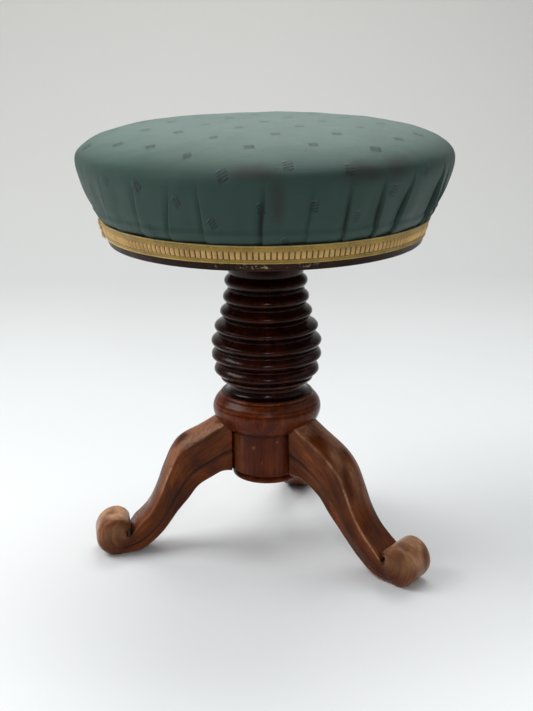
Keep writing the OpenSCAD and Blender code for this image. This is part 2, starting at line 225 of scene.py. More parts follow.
def setBump(tree, surface, height, strength, distance):
    made = node(tree, "Bump", {"Height": height, "Strength": strength, "Distance": distance})
    setInputs(tree, surface, {"Normal": made.outputs[0]})


# Camera and frame of the picture
view = {"place": (0, -1.206, 0.572), "down": 16.8, "roll": 0.5,
        "focal": 60.76, "sensor": 36, "shiftX": 0.0042}

camera = addObject("camera", bpy.data.cameras.new("camera"))
camera.data.lens = view["focal"]
camera.data.sensor_width = view["sensor"]
camera.data.shift_x = view["shiftX"]
camera.location = view["place"]
camera.rotation_mode = "XYZ"
camera.rotation_euler = (math.radians(90 - view["down"]), math.radians(view["roll"]), 0)
scene.camera = camera
scene.view_settings.view_transform = "Standard"
print("camera set")

# Floor that curves up into a backdrop, its paper colour carrying painted shade, lamps and the room's light
studio = {"halfWidth": 4.0, "front": -3.5, "bend": 1.0, "radius": 1.6, "height": 4.0, "steps": 24,
          "papersAndShade": [(0.0, (240, 241, 242)), (0.22, (217, 219, 219)), (0.5, (196, 197, 196)),
                     (1.0, (208, 206, 202))],
          "fadeFrom": -0.3, "fadeTo": 2.7, "shadedPaper": (74, 75, 76), "shadeFrom": -1.1, "shadeTo": -0.45,
          "paperRough": 0.9, "paperShine": 0.1,
          "room": (226, 230, 232), "roomLow": 0.10, "roomHigh": 0.84, "roomTop": 0.7,
          "roomFront": 0.35, "frontFrom": -0.8, "aim": (0, 0, 0.25),
          "lamps": [
              {"name": "windowLamp", "place": (-1.8, 0.0, 2.2), "size": 1.6, "watts": 46},
              {"name": "topLamp", "place": (0.2, 1.1, 2.3), "size": 1.6, "watts": 34},
              {"name": "fillLamp", "place": (0.12, -2.2, 1.3), "size": 0.25, "watts": 7}]}

bend, radius = studio["bend"], studio["radius"]
sweep = [(studio["front"], 0.0)]
for k in range(studio["steps"] + 1):
    turn = math.radians(90 * k / studio["steps"])
    sweep.append((bend + radius * math.sin(turn), radius * (1 - math.cos(turn))))
sweep.append((bend + radius, studio["height"]))
floorMesh = bpy.data.meshes.new("studioFloor")
floorMesh.from_pydata([(x, y, z) for y, z in sweep for x in (-studio["halfWidth"], studio["halfWidth"])],
                      [], [(2 * i, 2 * i + 1, 2 * i + 3, 2 * i + 2) for i in range(len(sweep) - 1)])
floorMesh.shade_smooth()
studioFloor = addObject("studioFloor", floorMesh)
paper, paperTree, paperSurface = newMaterial("studioPaper")
# The paper's colour is painted shade over its tone: lightest at the front, darker towards the foot of the
# backdrop, a little lighter again up the sweep
paperDeep = split(paperTree, objectPlace(paperTree))[1]
paperFade = remap(paperTree, paperDeep, studio["fadeFrom"], studio["fadeTo"], 0, 1)
paperColour = ramp(paperTree, paperFade, studio["papersAndShade"])
# Far in front the paper turns dark grey: painted shade where the floor leaves the lamps' light
paperLit = remap(paperTree, paperDeep, studio["shadeFrom"], studio["shadeTo"], 0, 1)
paperColour = colourMix(paperTree, paperLit, paint(*studio["shadedPaper"]), paperColour)
setInputs(paperTree, paperSurface, {"Base Color": paperColour, "Roughness": studio["paperRough"],
                                    "Specular IOR Level": studio["paperShine"]})
floorMesh.materials.append(paper)

for lamp in studio["lamps"]:
    light = bpy.data.lights.new(lamp["name"], "AREA")
    light.size = lamp["size"]
    light.energy = lamp["watts"]
    holder = addObject(lamp["name"], light)
    holder.location = lamp["place"]
    towards = Vector(studio["aim"]) - Vector(lamp["place"])
    holder.rotation_euler = towards.to_track_quat("-Z", "Y").to_euler()

# The room is bright overhead, dim low down and on the viewer's side
world = bpy.data.worlds.new("room")
world.use_nodes = True
worldTree = world.node_tree
skyPlace = split(worldTree, node(worldTree, "TexCoord").outputs["Generated"])
roomLight = remap(worldTree, skyPlace[2], 0.0, studio["roomTop"], studio["roomLow"], studio["roomHigh"])
frontLight = remap(worldTree, skyPlace[1], studio["frontFrom"], 0.0, studio["roomFront"], 1)
setInputs(worldTree, worldTree.nodes["Background"], {"Strength": times(worldTree, roomLight, frontLight),
                                                     "Color": paint(*studio["room"])})
scene.world = world
print("studio set")

# What the four woods share
polish = {"scuffs": 260, "flecks": 210, "fleckGroups": 46, "fleckEdge": 0.0015, "wornRough": 0.22,
          "coatRough": 0.16, "bump": 0.35, "bumpDepth": 0.0005}


# Polished mahogany: figure along the grain, worn edges and painted highlight lines, painted shade in the
# grooves and hollows, dark glue seams
def woodMaterial(look):
    material, tree, surface = newMaterial(look["name"])
    where = mark(tree, "grain", "Vector") if "alongPiece" in look else objectPlace(tree)
    figure = noiseTexture(tree, stretched(tree, where, look["figure"]), 1, 5, 0.62, 0.6)
    streak = noiseTexture(tree, stretched(tree, where, look["streak"]), 1, 3, 0.7)
    pore = noiseTexture(tree, stretched(tree, where, look["pore"]), 1, 2, 0.6)
    patch = noiseTexture(tree, where, look["patch"], 3, 0.55, 0.4)
    scuff = noiseTexture(tree, where, polish["scuffs"], 4, 0.7)
    body = ramp(tree, maths(tree, "MULTIPLY_ADD", streak, 0.45, times(tree, figure, 0.55)),
                [(0.30, look["dark"]), (0.52, look["mid"]), (0.72, look["light"])])
    body = colourMix(tree, remap(tree, pore, 0.34, 0.46, 0.55, 0), body, paint(*look["dark"]))
    darker = remap(tree, patch, 0.42, 0.62, 0, look["patchShare"])
    body = colourMix(tree, darker, body, paint(*look["patchColour"]))
    # the wear mark lightens worn places, and along ring and bead edges it paints highlight lines
    wornAndHighlit = times(tree, mark(tree, "wornAndHighlit"), remap(tree, scuff, 0.30, 0.62, 0.35, 1.0))
    body = colourMix(tree, wornAndHighlit, body, paint(*look["wornAndHighlitColour"]))
    if "footColour" in look:
        bare = colourMix(tree, remap(tree, patch, 0.38, 0.6, 0, 1), paint(*look["footShade"]),
                         paint(*look["footColour"]))
        bare = colourMix(tree, remap(tree, streak, 0.40, 0.56, 0.35, 0), bare, paint(*look["footDark"]))
        body = colourMix(tree, mark(tree, "foot"), body, colourMix(tree, 0.3, bare, body, "MULTIPLY"))
    if "fleckColour" in look:
        parts, reach, level = split(tree, where), look["fleckReach"], look["fleckHeight"]
        bit = remap(tree, noiseTexture(tree, where, polish["flecks"], 3, 0.75), 0.54, 0.60, 0, 1)
        near = remap(tree, maths(tree, "ABSOLUTE", parts[0]), reach, reach * 2, 1, 0)
        high = remap(tree, parts[2], level - polish["fleckEdge"], level, 0, 1)
        cluster = remap(tree, noiseTexture(tree, where, polish["fleckGroups"], 1, 0.5), 0.44, 0.52, 0, 1)
        for part in (near, high, cluster):
            bit = times(tree, bit, part)
        body = colourMix(tree, bit, body, paint(*look["fleckColour"]))
    # the dark mark paints shade in grooves, steps and hollows, and the glue seams' real dark line
    body = colourMix(tree, mark(tree, "shadeAndSeams"), body, paint(*look["shadeAndSeamColour"]))
    rough = remap(tree, patch, 0.3, 0.7, *look["gloss"])
    rough = maths(tree, "MULTIPLY_ADD", wornAndHighlit, polish["wornRough"], rough)
    setInputs(tree, surface, {"Base Color": body, "Roughness": rough, "Specular IOR Level": look["shine"],
                              "Coat Weight": look["coat"], "Coat Roughness": polish["coatRough"]})
    height = maths(tree, "ADD", times(tree, pore, 0.5), times(tree, scuff, 0.3))
    setBump(tree, surface, height, polish["bump"], polish["bumpDepth"])
    return material


columnWood = woodMaterial({
    "name": "darkMahogany",
    "figure": (26, 26, 7), "streak": (190, 190, 14), "pore": (900, 900, 60), "patch": 34,
    "dark": (14, 3, 1), "mid": (44, 13, 6), "light": (84, 33, 14),
    "patchShare": 0.35, "patchColour": (26, 9, 5), "wornAndHighlitColour": (112, 62, 38),
    "shadeAndSeamColour": (7, 4, 4), "gloss": (0.12, 0.22), "coat": 0.03, "shine": 0.14})
baseWood = woodMaterial({
    "name": "redMahogany",
    "figure": (30, 30, 8), "streak": (230, 230, 16), "pore": (1000, 1000, 70), "patch": 28,
    "dark": (46, 12, 3), "mid": (92, 34, 9), "light": (136, 62, 20),
    "patchShare": 0.3, "patchColour": (54, 20, 9), "wornAndHighlitColour": (150, 92, 52),
    "shadeAndSeamColour": (14, 8, 6), "gloss": (0.18, 0.32), "coat": 0.03, "shine": 0.12})
legWood = woodMaterial({
    "name": "wornMahogany", "alongPiece": True,
    "figure": (9, 30, 30), "streak": (18, 210, 210), "pore": (80, 1000, 1000), "patch": 30,
    "dark": (52, 19, 6), "mid": (104, 50, 18), "light": (146, 80, 34),
    "patchShare": 0.65, "patchColour": (54, 27, 16), "wornAndHighlitColour": (184, 130, 98),
    "footColour": (232, 178, 134), "footShade": (164, 116, 84), "footDark": (96, 64, 44),
    "shadeAndSeamColour": (16, 9, 7), "gloss": (0.24, 0.38), "coat": 0.02, "shine": 0.11})
rimWood = woodMaterial({
    "name": "rimMahogany",
    "figure": (10, 34, 30), "streak": (24, 200, 160), "pore": (90, 900, 900), "patch": 26,
    "dark": (22, 13, 10), "mid": (50, 31, 22), "light": (82, 52, 36),
    "patchShare": 0.3, "patchColour": (32, 20, 15), "wornAndHighlitColour": (130, 88, 58),
    "fleckColour": (206, 194, 150), "fleckReach": 0.026, "fleckHeight": 0.3375,
    "shadeAndSeamColour": (12, 8, 6), "gloss": (0.28, 0.42), "coat": 0.02, "shine": 0.08})
print("woods made")


# Iron, steel, brass and leather
def metalMaterial(look):
    material, tree, surface = newMaterial(look["name"])
    where = objectPlace(tree)
    cloud = noiseTexture(tree, where, 70, 5, 0.6, 0.3)
    fleck = noiseTexture(tree, where, 600, 3, 0.7)
    body = ramp(tree, cloud, [(0.35, look["dark"]), (0.65, look["bright"])])
    body = colourMix(tree, remap(tree, fleck, 0.58, 0.7, 0, 0.6), body, paint(*look["stain"]))
    rough = remap(tree, cloud, 0.3, 0.7, *look["rough"])
    setInputs(tree, surface, {"Base Color": body, "Roughness": rough, "Metallic": look["metal"]})
    setBump(tree, surface, fleck, look["bump"], 0.0004)
    return material


ironMetal = metalMaterial({
    "name": "greasedIron", "dark": (46, 42, 40), "bright": (96, 90, 84), "stain": (70, 44, 30),
    "metal": 0.85, "rough": (0.34, 0.56), "bump": 0.3})
steelMetal = metalMaterial({
    "name": "dullSteel", "dark": (112, 108, 102), "bright": (160, 156, 148), "stain": (92, 70, 52),
    "metal": 1.0, "rough": (0.30, 0.48), "bump": 0.15})
brassMetal = metalMaterial({
    "name": "tarnishedBrass", "dark": (118, 92, 48), "bright": (176, 146, 84), "stain": (70, 54, 34),
    "metal": 1.0, "rough": (0.32, 0.5), "bump": 0.15})


def leatherMaterial(look):
    material, tree, surface = newMaterial(look["name"])
    where = objectPlace(tree)
    grain = node(tree, "TexVoronoi", {"Vector": where, "Scale": look["grain"]}).outputs["Distance"]
    cloud = noiseTexture(tree, where, 60, 4, 0.6)
    body = ramp(tree, cloud, [(0.35, look["dark"]), (0.7, look["bright"])])
    setInputs(tree, surface, {"Base Color": body, "Roughness": look["rough"]})
    setBump(tree, surface, grain, 0.4, 0.0004)
    return material


washerLeather = leatherMaterial({
    "name": "dryLeather", "dark": (70, 42, 24), "bright": (118, 76, 44), "grain": 900, "rough": 0.7})

cadFinishes = [
    (baseWood, ["turned_base", "base_cap"]), (columnWood, ["beehive_column"]), (rimWood, ["seat_board"]),
    (legWood, ["left_leg", "right_leg", "back_leg"]), (brassMetal, ["base_cap_screws"]),
    (ironMetal, ["column_nut", "seat_screw", "seat_flange", "stop_washer"]),
    (steelMetal, ["nut_screws", "flange_pin", "flange_screws", "stop_bolt", "cover_tacks"]),
    (washerLeather, ["leather_washer"])]
for material, names in cadFinishes:
    for name in names:
        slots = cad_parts[name].data.materials
        slots.clear()
        slots.append(material)
print("parts painted")

# Stuffed seat: the silk is blown out by a cloth simulation, then tucked into knife pleats
seat = {
    # in mm: radius and height along the cover's outline and its hidden side, radius of its middle
    "outline": [(0, 452.6), (36, 452.4), (72, 451.4), (104, 449.6), (134, 446.2), (158, 441.6),
                (174.5, 435.4), (184.5, 427.8), (188.6, 420.2), (188.6, 411.7), (186.4, 403.2),
                (183.4, 395.2), (179.8, 386.2), (175.6, 376.7), (170.6, 367.2), (166.6, 361.8),
                (163.2, 358.4), (161.3, 350.2), (159.1, 341.2)],
    "inside": [(156.6, 341.2), (161.4, 359.1), (120, 359.1), (60, 359.1), (0.5, 359.1)],
    "middle": 0.4, "outlineSteps": 4, "columns": 960,
    # columns and frames of the simulation, how much smaller it starts, the most that a point moves in m
    "simulated": 144, "puffed": 20, "startSmaller": 0.992, "cap": 0.0035,
    "cloth": {"quality": 5, "tension_stiffness": 30, "compression_stiffness": 30, "shear_stiffness": 12,
              "bending_stiffness": 2.5, "use_pressure": True, "uniform_pressure_force": 3.2},
    # heights in m of the held edge, the free cloth and the firm top
    "held": (0.3597, 0.372), "free": 0.37, "firm": (0.400, 0.432), "firmShare": 0.85, "topFrom": 0.425,
    # heights in m of the gathers over the braid and of the pleats
    "gather": (0.352, 0.3582), "opening": (0.358, 0.384), "foldFrom": 0.3585,
    "pleatFoot": 0.359, "pleatFade": 0.380, "pleatTop": 0.424,
    "pleatDepth": 0.0026, "creaseDepth": 0.0020, "wrinkle": 0.0012,
    # direction of each pleat at the braid and at its top, and how strong it is
    "pleats": [(-70.7, -65.1, 0.8), (-56.7, -53.1, 0.9), (-41.4, -38.4, 1.0), (-30.4, -25.8, 0.9),
               (-18.4, -17.9, 0.8), (-1.1, 0.1, 1.0), (12.6, 13.4, 0.45), (24.5, 24.0, 0.9),
               (35.7, 34.5, 1.2), (44.5, 46.1, 1.3), (63.1, 62.6, 1.5)],
    "backPleats": 21, "seed": 4}


# Top and strength of every pleat by its direction at the braid; the hidden ones stand at loose steps
def pleatTops():
    pleats = list(seat["pleats"])
    first, last = pleats[0][0], pleats[-1][0]
    gap = (360 + first - last) / (seat["backPleats"] + 1)
    for i in range(seat["backPleats"]):
        low = last + gap * (i + 1 + random.uniform(-0.25, 0.25))
        pleats.append((low, low + random.uniform(-3.5, 3.5), random.uniform(0.6, 1.2)))
    return {round(low, 3): (top, strength) for low, top, strength in pleats}


random.seed(seat["seed"])
tops = pleatTops()
lows = sorted(tops)


# Where a direction at the braid has drifted to at height share up, and its place between two pleats
def pleatPlace(direction, up):
    wrapped = (direction - lows[0]) % 360 + lows[0]
    for i, low in enumerate(lows):
        after = lows[i + 1] if i + 1 < len(lows) else lows[0] + 360
        if wrapped < after or i == len(lows) - 1:
            share = (wrapped - low) / (after - low)
            nextLow = lows[(i + 1) % len(lows)]
            drift = mix(tops[low][0] - low, tops[nextLow][0] - nextLow, share)
            return direction + drift * up, share, tops[low][1], tops[nextLow][1]


seatLine = [(r * mm, z * mm) for r, z in curveThrough(seat["outline"], seat["outlineSteps"])]
seatLine[0] = (seat["middle"] * mm, seatLine[0][1])  # a tiny face closes the middle
insideLine = [(r * mm, z * mm) for r, z in seat["inside"]]
lengths = [0.0]
for (r0, z0), (r1, z1) in zip(seatLine, seatLine[1:]):
    lengths.append(lengths[-1] + math.hypot(r1 - r0, z1 - z0))


# Rings of the cover with as many columns, and the same points laid flat for the pattern
def seatRings(columns):
    rings, flat = [], []
    steps = directions(columns)
    for (r, z), along in zip(seatLine, lengths):
        up = smooth(seat["pleatFoot"], seat["pleatTop"], z)
        drifted = [pleatPlace(step, up)[0] for step in steps]
        rings.append([ringPoint(r, direction, z) for direction in drifted])
        flat.extend(ringPoint(along, mix(direction, step, 0.5), 0) for direction, step in zip(drifted, steps))
    for r, z in insideLine:
        rings.append([ringPoint(r, step, z) for step in steps])
        flat.extend(ringPoint(lengths[-1], step, 0) for step in steps)
    return rings, flat


# How much the stuffing gives at a height, least on top
def give(height):
    return 1 - seat["firmShare"] * smooth(*seat["firm"], height)


# How far each point of the cover moves outward, sideways and up when the stuffing presses on it
def puffedShifts():
    count, small = seat["simulated"], seat["startSmaller"]
    rings = [[Vector((p.x * small, p.y * small, p.z)) if seat["free"] < p.z else p for p in ring]
             for ring in seatRings(count)[0]]
    piece = loftMesh("stuffing", rings)
    held = piece.vertex_groups.new(name="held")
    for j, ring in enumerate(rings):
        weight = 1.0 if j >= len(seatLine) else 1 - smooth(*seat["held"], ring[0].z)
        held.add(list(range(j * count, (j + 1) * count)), weight, "REPLACE")
    cloth = piece.modifiers.new("puff", "CLOTH")
    for key, value in seat["cloth"].items():
        setattr(cloth.settings, key, value)
    cloth.settings.vertex_group_mass = held.name
    cloth.settings.effector_weights.gravity = 0
    cloth.point_cache.frame_start, cloth.point_cache.frame_end = 1, seat["puffed"]
    for number in range(1, seat["puffed"] + 1):
        scene.frame_set(number)
    posed = piece.evaluated_get(bpy.context.evaluated_depsgraph_get())
    shifts = []
    for j in range(len(seatLine)):
        row = []
        for i in range(count):
            before = rings[j][i]
            shift = posed.data.vertices[j * count + i].co - before
            if shift.length > seat["cap"]:
                shift = shift.normalized() * seat["cap"]
            outward, sideways = outAndSide(before)
            row.append((shift.dot(outward), shift.dot(sideways), shift.z))
        # folds of the coarse cloth are evened out
        ease = give(rings[j][0].z)
        shifts.append([tuple(ease * sum(row[(i + k) % count][axis] for k in (-2, -1, 0, 1, 2)) / 5
                             for axis in (0, 1, 2)) for i in range(count)])
    bpy.data.objects.remove(piece)
    scene.frame_set(1)
    return shifts


def puffUp(piece, shifts):
    count, coarse = seat["columns"], seat["simulated"]
    for j, row in enumerate(shifts):
        for i in range(count):
            vertex = piece.data.vertices[j * count + i]
            place = i * coarse / count
            near = [row[(int(place) + k) % coarse] for k in (-1, 0, 1, 2)]
            out, side, up = (between(*values, place % 1) for values in zip(*near))
            outward, sideways = outAndSide(vertex.co)
            if seat["free"] < vertex.co.z:
                out -= (1 - seat["startSmaller"]) * seatLine[j][0] * give(vertex.co.z)
            vertex.co += outward * out + sideways * side + Vector((0, 0, up))


# Each pleat rises gently and drops into a crease before the next one
def tuckPleats(piece):
    steps = directions(seat["columns"])
    creaseShades = piece.data.attributes["creaseShade"].data
    for j, (r, z) in enumerate(seatLine):
        gather = smooth(*seat["gather"], z)
        fade = (1 - smooth(seat["pleatFade"], seat["pleatTop"], z)) * gather
        fade *= mix(0.6, 1.0, smooth(*seat["opening"], z))
        high = smooth(seat["pleatFoot"], seat["pleatTop"], z)
        for i, step in enumerate(steps):
            number = j * seat["columns"] + i
            vertex = piece.data.vertices[number]
            _, share, here, after = pleatPlace(step, high)
            lift = here * (1 - smooth(0.0, 0.8, share)) + 0.2 * after * smooth(0.6, 0.9, share)
            out = seat["pleatDepth"] * (lift - 0.35)
            out -= seat["creaseDepth"] * after * smooth(0.80, 0.97, share)
            if z > seat["foldFrom"]:
                # the crease of each pleat is marked for painted shade
                creaseShades[number].value = smooth(0.90, 0.975, share) * min(1.0, after) * fade
            out += seat["wrinkle"] * noise.noise(Vector((step * 0.22, z * 14, 3)))
            soft = noise.noise(vertex.co * 22) * 0.0011 + noise.noise(vertex.co * 60) * 0.0004
            vertex.co += outAndSide(vertex.co)[0] * (out * fade + soft * gather * 0.8)
            if z > seat["topFrom"]:
                vertex.co.z += soft * 0.7


coverRings, coverFlat = seatRings(seat["columns"])
silkSeat = loftMesh("silkSeat", coverRings, marks={"flat": coverFlat, "creaseShade": [0.0] * len(coverFlat)})
puffUp(silkSeat, puffedShifts())
tuckPleats(silkSeat)
silkSeat.data.update()
print("seat stuffed and pleated")


# Teal silk with a lattice of small woven motifs, laid on the flat pattern of the cover
def silkMaterial(look):
    material, tree, surface = newMaterial("tealSilk")
    flat = mark(tree, "flat", "Vector")
    where = objectPlace(tree)
    laid = node(tree, "Mapping", {"Vector": flat, "Rotation": (0, 0, math.radians(look["turn"])),
                                  "Location": look["shift"]}).outputs[0]
    parts = split(tree, laid)
    across = maths(tree, "DIVIDE", parts[0], look["motifAcross"])
    along = maths(tree, "DIVIDE", parts[1], look["motifAlong"])
    oddRow = maths(tree, "PINGPONG", maths(tree, "FLOOR", along), 1.0)
    shifted = maths(tree, "MULTIPLY_ADD", oddRow, 0.5, across)

    # distance from the middle of the nearest motif
    def fromMiddle(value, size):
        return times(tree, maths(tree, "SUBTRACT", maths(tree, "FRACT", value), 0.5), size)

    x = fromMiddle(shifted, look["motifAcross"])
    y = maths(tree, "MULTIPLY_ADD", x, look["slant"], fromMiddle(along, look["motifAlong"]))

    # one woven dash around (cx, cy)
    def dash(cx, cy, long, thin):
        dx = maths(tree, "ABSOLUTE", maths(tree, "SUBTRACT", x, cx))
        dy = maths(tree, "ABSOLUTE", maths(tree, "SUBTRACT", y, cy))
        return times(tree, remap(tree, dx, long * 0.8, long, 1, 0),
                     remap(tree, dy, thin * 0.6, thin * 1.2, 1, 0))

    # the ground behind the dashes is a little darker
    step, gap, size = look["dashStep"], look["dashGap"], (look["dashLong"], look["dashThin"])
    motif, glint = times(tree, dash(0, 0, step, gap * 1.9), look["groundShare"]), 0.0
    for column, places in look["dashes"]:
        for place in places:
            motif = maths(tree, "MAXIMUM", motif, dash(column * step, place * gap, *size))
            glint = maths(tree, "MAXIMUM", glint, dash(column * step, (place + 0.45) * gap, *size))

    def weave(scale, way):
        return node(tree, "TexWave", {"Vector": laid, "Scale": scale, "Distortion": 0.6, "Detail": 1},
                    bands_direction=way).outputs["Fac"]

    threads, ribs = weave(look["threads"], "Y"), weave(look["threads"] * 0.7, "X")
    slub = noiseTexture(tree, stretched(tree, laid, (40, 900, 1)), 1, 3, 0.7)
    cloud = noiseTexture(tree, where, 9, 4, 0.5, 0.3)
    body = colourMix(tree, remap(tree, cloud, 0.35, 0.65, 0, 1), paint(*look["shade"]), paint(*look["silk"]))
    body = colourMix(tree, remap(tree, slub, 0.35, 0.65, 0, 0.7), body, paint(*look["bright"]))
    # the sides and the front shoulder below the top are darkened: painted shade
    low = remap(tree, split(tree, where)[2], look["sideShadeFrom"], look["sideShadeTo"], 1, 0)
    body = colourMix(tree, times(tree, low, look["sideShade"]), body, paint(*look["shadedSilk"]))
    body = colourMix(tree, times(tree, glint, look["glintShare"]), body, paint(*look["glint"]))
    body = colourMix(tree, times(tree, motif, look["motifShare"]), body, paint(*look["motif"]))
    ragged, stain = times(tree, noiseTexture(tree, where, 60, 4, 0.6), 0.9), 0.0
    for place, size, strength in look["stains"]:
        apart = node(tree, "VectorMath", {0: where, 1: place}, operation="SUBTRACT").outputs[0]
        scaled = node(tree, "VectorMath", {0: apart, 1: tuple(1 / s for s in size)},
                      operation="MULTIPLY").outputs[0]
        distance = node(tree, "VectorMath", {0: scaled}, operation="LENGTH").outputs[1]
        spot = remap(tree, maths(tree, "ADD", ragged, distance), 0.75, 1.5, strength, 0)
        stain = maths(tree, "MAXIMUM", stain, spot)
    body = colourMix(tree, stain, body, paint(*look["stain"]))
    # the pleats' creases are darkened: painted shade
    body = colourMix(tree, times(tree, mark(tree, "creaseShade"), look["creaseShadeShare"]), body, paint(*look["creaseShadeColour"]))
    rough = remap(tree, motif, 0, 1, look["rough"], look["motifRough"])
    setInputs(tree, surface, {"Base Color": body, "Roughness": rough, "Specular IOR Level": look["shine"],
                              "Sheen Weight": look["sheen"], "Sheen Roughness": look["sheenRough"],
                              "Sheen Tint": paint(*look["sheenColour"])})
    height = maths(tree, "ADD", times(tree, threads, 0.4), times(tree, ribs, 0.25))
    for part, share in ((slub, 0.5), (motif, 1.2)):
        height = maths(tree, "ADD", height, times(tree, part, share))
    setBump(tree, surface, height, look["bump"], look["bumpDepth"])
    return material


tealSilk = silkMaterial({
    "turn": -7, "shift": (0.004, 0.008, 0), "motifAcross": 0.058, "motifAlong": 0.039, "slant": -0.35,
    "dashLong": 0.0025, "dashThin": 0.0013, "dashStep": 0.0050, "dashGap": 0.0030, "groundShare": 0.6,
    # columns of dashes in a motif, and the dashes' places in each
    "dashes": ((-0.5, (1.6, 0.6, -0.4)), (0.5, (0.4, -0.6, -1.6))), "threads": 620,
    "silk": (95, 119, 111), "shade": (82, 105, 98), "bright": (116, 133, 127),
    # from these heights down the silk is darkened, painted shade
    "sideShadeFrom": 0.424, "sideShadeTo": 0.4515, "sideShade": 0.9, "shadedSilk": (44, 72, 64),
    "motif": (18, 36, 36), "motifShare": 0.85, "glint": (112, 156, 146), "glintShare": 0.2,
    # painted shade in the pleats' creases
    "creaseShadeShare": 0.85, "creaseShadeColour": (10, 20, 18),
    "rough": 0.55, "motifRough": 0.43, "shine": 0.3, "bump": 0.5, "bumpDepth": 0.0007,
    "sheen": 0.12, "sheenRough": 0.35, "sheenColour": (214, 222, 216), "stain": (46, 38, 36),
    # place, size and strength of each stain
    "stains": [((0.088, -0.166, 0.423), (0.030, 0.03, 0.012), 0.6),
               ((0.118, -0.148, 0.424), (0.018, 0.03, 0.014), 0.6),
               ((-0.012, -0.188, 0.426), (0.026, 0.03, 0.009), 0.55),
               ((0.010, -0.184, 0.400), (0.009, 0.03, 0.028), 0.5)]})
finishPiece(silkSeat, "seat", [tealSilk], ["seat_cover", "calico_cover", "horsehair_pad"])

# Gimp braid: rope edges, stitched borders and upright ribs
braid = {"ribs": 190, "low": 0.3411, "high": 0.3585, "radius": 0.1596, "flare": 0.0050, "thick": 0.0013,
         "perRib": 8, "gapFrom": 6}


# A point of the braid: share of its width up, how far it stands out, direction
def braidPoint(share, out, direction):
    radius = braid["radius"] + braid["flare"] * share + out
    return ringPoint(radius, direction, mix(braid["low"], braid["high"], share))


def braidRings():
    # share of the width, how far it stands out, band: 0 edge, 1 border, 2 rib
    profile = [(0.0, 0.0, 0), (0.008, 1.1, 0), (0.03, 1.45, 0), (0.055, 1.1, 0), (0.065, 0.7, 1),
               (0.10, 0.95, 1), (0.14, 0.75, 1), (0.18, 0.98, 1), (0.225, 0.7, 1), (0.235, 0.45, 2),
               (0.26, 1.0, 2), (0.35, 1.35, 2), (0.45, 1.45, 2), (0.55, 1.35, 2), (0.635, 1.0, 2),
               (0.655, 0.45, 2), (0.665, 0.7, 1), (0.72, 0.98, 1), (0.78, 0.75, 1), (0.84, 0.98, 1),
               (0.90, 0.95, 1), (0.928, 0.7, 0), (0.94, 1.1, 0), (0.965, 1.45, 0), (0.99, 1.1, 0),
               (1.0, 0.0, 0)]
    steps = directions(braid["ribs"] * braid["perRib"])
    rings, bands = [], []
    for share, stand, band in profile:
        ring = []
        for i, direction in enumerate(steps):
            phase = i % braid["perRib"] / braid["perRib"]
            out = stand
            if band == 2:
                bulge = math.sin(math.pi * min(1, phase / 0.7)) if phase < 0.7 else 0.0
                out = 0.3 + (stand - 0.3) * bulge ** 0.5
            if band == 1:
                out += 0.12 * math.sin(4 * math.pi * phase + share * 60)
            if band == 0 and stand > 1:
                out += 0.10 * math.sin(4 * math.pi * phase + (0 if share < 0.5 else 1.6))
            ring.append(braidPoint(share, braid["thick"] * out, direction))
        rings.append(ring)
        bands.append(band)
    for share in (0.98, 0.02):
        rings.append([braidPoint(share, 0, direction) for direction in steps])
        bands.append(1)
    return rings, bands


def braidMaterial(name, look):
    material, tree, surface = newMaterial(name)
    where = objectPlace(tree)
    cloud = noiseTexture(tree, where, 55, 4, 0.6)
    thread = noiseTexture(tree, where, look["thread"], 2, 0.6)
    body = ramp(tree, cloud, [(0.32, look["dark"]), (0.62, look["bright"])])
    body = colourMix(tree, remap(tree, thread, 0.42, 0.62, 0, 0.6), body, paint(*look["fleck"]))
    setInputs(tree, surface, {"Base Color": body, "Roughness": 0.62, "Sheen Weight": 0.25,
                              "Sheen Roughness": 0.4})
    setBump(tree, surface, thread, 0.5, 0.0004)
    return material


edgeGold = braidMaterial("edgeGold", {
    "dark": (164, 128, 56), "bright": (214, 176, 94), "fleck": (236, 204, 128), "thread": 1300})
borderOlive = braidMaterial("borderOlive", {
    "dark": (116, 90, 26), "bright": (164, 130, 40), "fleck": (206, 174, 92), "thread": 1100})
ribGold = braidMaterial("ribGold", {
    "dark": (196, 154, 82), "bright": (238, 198, 122), "fleck": (178, 132, 68), "thread": 1500})
gapBrown = braidMaterial("gapBrown", {
    "dark": (66, 48, 26), "bright": (84, 62, 34), "fleck": (96, 74, 42), "thread": 1200})
braidPoints, braidBands = braidRings()
gimpBraid = loftMesh("gimpBraid", braidPoints, looped=True, bands=braidBands)
for index, face in enumerate(gimpBraid.data.polygons):
    if face.material_index == 2 and index % braid["perRib"] >= braid["gapFrom"]:
        face.material_index = 3
finishPiece(gimpBraid, "seat", [edgeGold, borderOlive, ribGold, gapBrown], ["gimp_braid"])

# The braid's two ends lap at the left, and the outer end is frayed
lap = {"direction": -79, "reach": 3.5, "lift": 0.0012, "stand": 1.2, "sheet": 0.0006, "ragged": 0.3,
       "threads": 90, "long": (0.0015, 0.0048), "thick": 0.00045, "curl": 0.0016, "sag": 0.0012, "seed": 11}
random.seed(lap["seed"])


def lapMesh():
    rows = []
    for share in (0.02, 0.25, 0.5, 0.75, 0.98):
        row = []
        for k in (0.0, 0.2, 0.4, 0.6, 0.8, 1.0):
            ragged = random.uniform(-lap["ragged"], lap["ragged"]) * (k > 0.9)
            out = braid["thick"] * lap["stand"] + lap["lift"] * k ** 0.5
            row.append(braidPoint(share, out, lap["direction"] - lap["reach"] * k + ragged))
        rows.append(row)
    outer = [list(column) for column in zip(*rows)]
    inner = [[p - outAndSide(p)[0] * lap["sheet"] for p in reversed(column)] for column in outer]
    return loftMesh("braidLap", [front + back for front, back in zip(outer, inner)])


